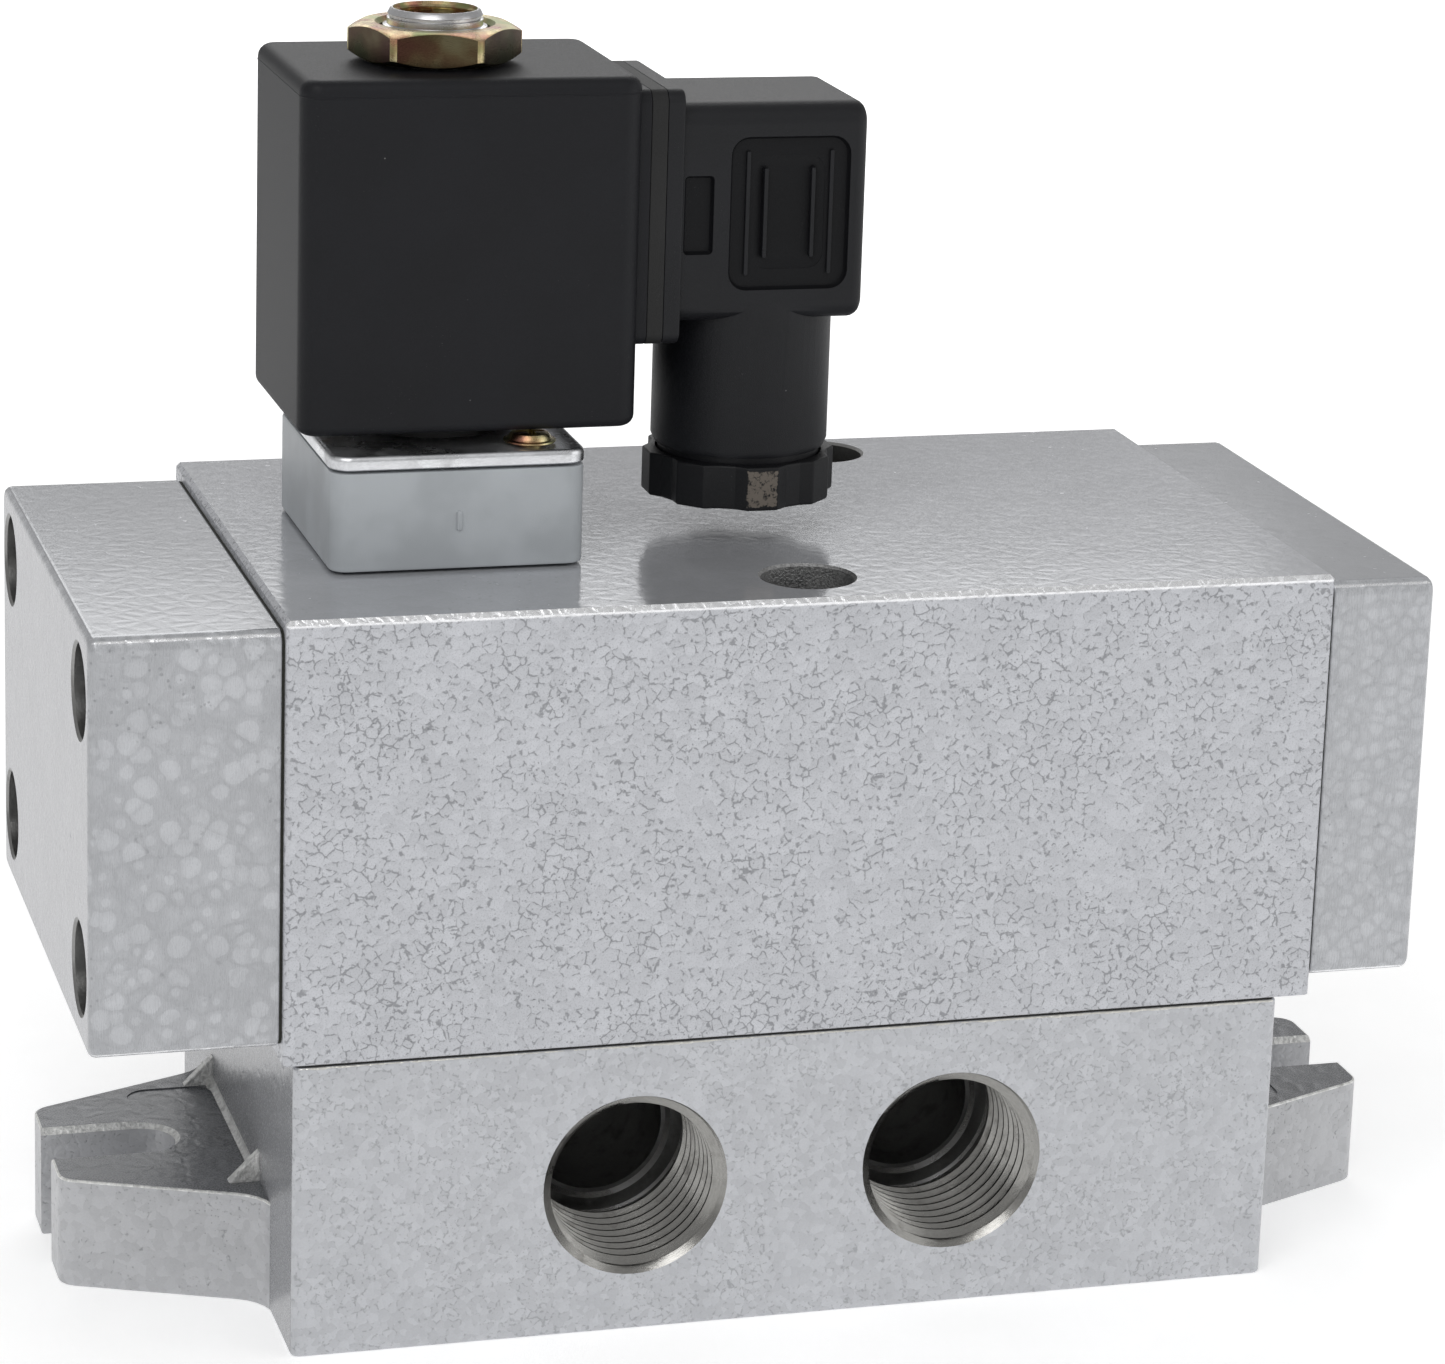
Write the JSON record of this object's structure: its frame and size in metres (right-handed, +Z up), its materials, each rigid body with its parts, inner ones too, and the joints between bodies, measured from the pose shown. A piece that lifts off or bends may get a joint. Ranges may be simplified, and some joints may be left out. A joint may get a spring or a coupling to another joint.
{
  "type": "solenoid directional valve",
  "caption": "Sub-base mounted pneumatic solenoid valve: hammered-paint spool body between end caps, pilot block, swivelling coil with right-angle plug, threaded ports, slotted lugs.",
  "frame": {"origin": "centre of the base plate's underside", "axes": "+X along the spool towards the spring cap, +Y to the back (supply side), +Z up towards the coil"},
  "size_m": [0.1592, 0.0718, 0.145],
  "materials": {
    "hammered_paint": "silver-grey hammered enamel on a cast alloy",
    "green_rubber": "matt dark green gasket sheet",
    "dark_steel": "black oxide, satin",
    "yellow_zinc": "yellow iridescent zinc passivation",
    "aluminium": "turned, satin",
    "black_rubber": "matt black nitrile",
    "steel": "bright turned steel",
    "brass": "plain brass",
    "copper": "copper wire and ring, satin",
    "grey_moulding": "satin blue-grey moulding",
    "zinc_steel": "bright zinc plate",
    "black_moulding": "matt black glass-filled nylon",
    "white_nylon": "natural nylon"
  },
  "bodies": {
    "root": {"armature_tube": "steel", "base_gasket": "green_rubber", "base_plate": "hammered_paint", "body_bolt_front": "dark_steel", "body_bolt_rear_left": "dark_steel", "body_bolt_rear_right": "dark_steel", "clamp_plate": "zinc_steel", "coil_nut": "yellow_zinc", "coil_washer": "black_rubber", "fixed_core": "steel", "left_cap": "hammered_paint", "left_cap_gasket": "green_rubber", "left_cap_screw_1": "dark_steel", "left_cap_screw_2": "dark_steel", "left_cap_screw_3": "dark_steel", "left_cap_screw_4": "dark_steel", "pilot_block": "grey_moulding", "pilot_gasket": "black_rubber", "pilot_seat": "brass", "plate_screw_1": "yellow_zinc", "plate_screw_2": "yellow_zinc", "plunger_spring": "steel", "return_spring": "steel", "right_cap": "hammered_paint", "right_cap_gasket": "green_rubber", "right_cap_screw_1": "dark_steel", "right_cap_screw_2": "dark_steel", "right_cap_screw_3": "dark_steel", "right_cap_screw_4": "dark_steel", "shading_ring": "copper", "tube_seal": "black_rubber", "valve_body": "hammered_paint"},
    "spool": {"spool": "aluminium", "spool_seal_1": "black_rubber", "spool_seal_2": "black_rubber", "spool_seal_3": "black_rubber", "spool_seal_4": "black_rubber", "spool_seal_5": "black_rubber", "spool_seal_6": "black_rubber", "spring_seat": "steel"},
    "piston": {"pilot_piston": "aluminium", "piston_seal": "black_rubber"},
    "plunger": {"plunger": "steel", "plunger_seal": "black_rubber"},
    "coil": {"coil_housing": "black_moulding", "coil_yoke": "steel", "coil_bobbin": "white_nylon", "coil_winding": "copper", "terminal_blade_1": "brass", "terminal_blade_2": "brass", "earth_blade": "brass", "terminal_insert": "grey_moulding", "connector_gasket": "black_rubber", "connector_housing": "black_moulding", "connector_screw": "zinc_steel", "gland_nut": "black_moulding", "gland_seal": "black_rubber", "gland_washer": "zinc_steel"}
  },
  "joints": [
    {"name": "spool_slide", "type": "slide", "parent": "root", "child": "spool", "axis": [1, 0, 0], "range_m": [0, 0.006], "stiffness_N_per_m": 1500, "springref_m": -0.01, "deforming": ["return_spring"]},
    {"name": "piston_slide", "type": "slide", "parent": "root", "child": "piston", "axis": [1, 0, 0], "range_m": [0, 0.006]},
    {"name": "plunger_lift", "type": "slide", "parent": "root", "child": "plunger", "axis": [0, 0, 1], "range_m": [0, 0.0012], "stiffness_N_per_m": 300, "springref_m": -0.004, "deforming": ["plunger_spring"]},
    {"name": "coil_swivel", "type": "hinge", "parent": "root", "child": "coil", "pos_m": [-0.0364, -0.003, 0.0997], "axis": [0, 0, 1], "continuous": true}
  ],
  "couplings": [
    {"joint": "piston_slide", "follows": "spool_slide", "ratio": 1}
  ]
}
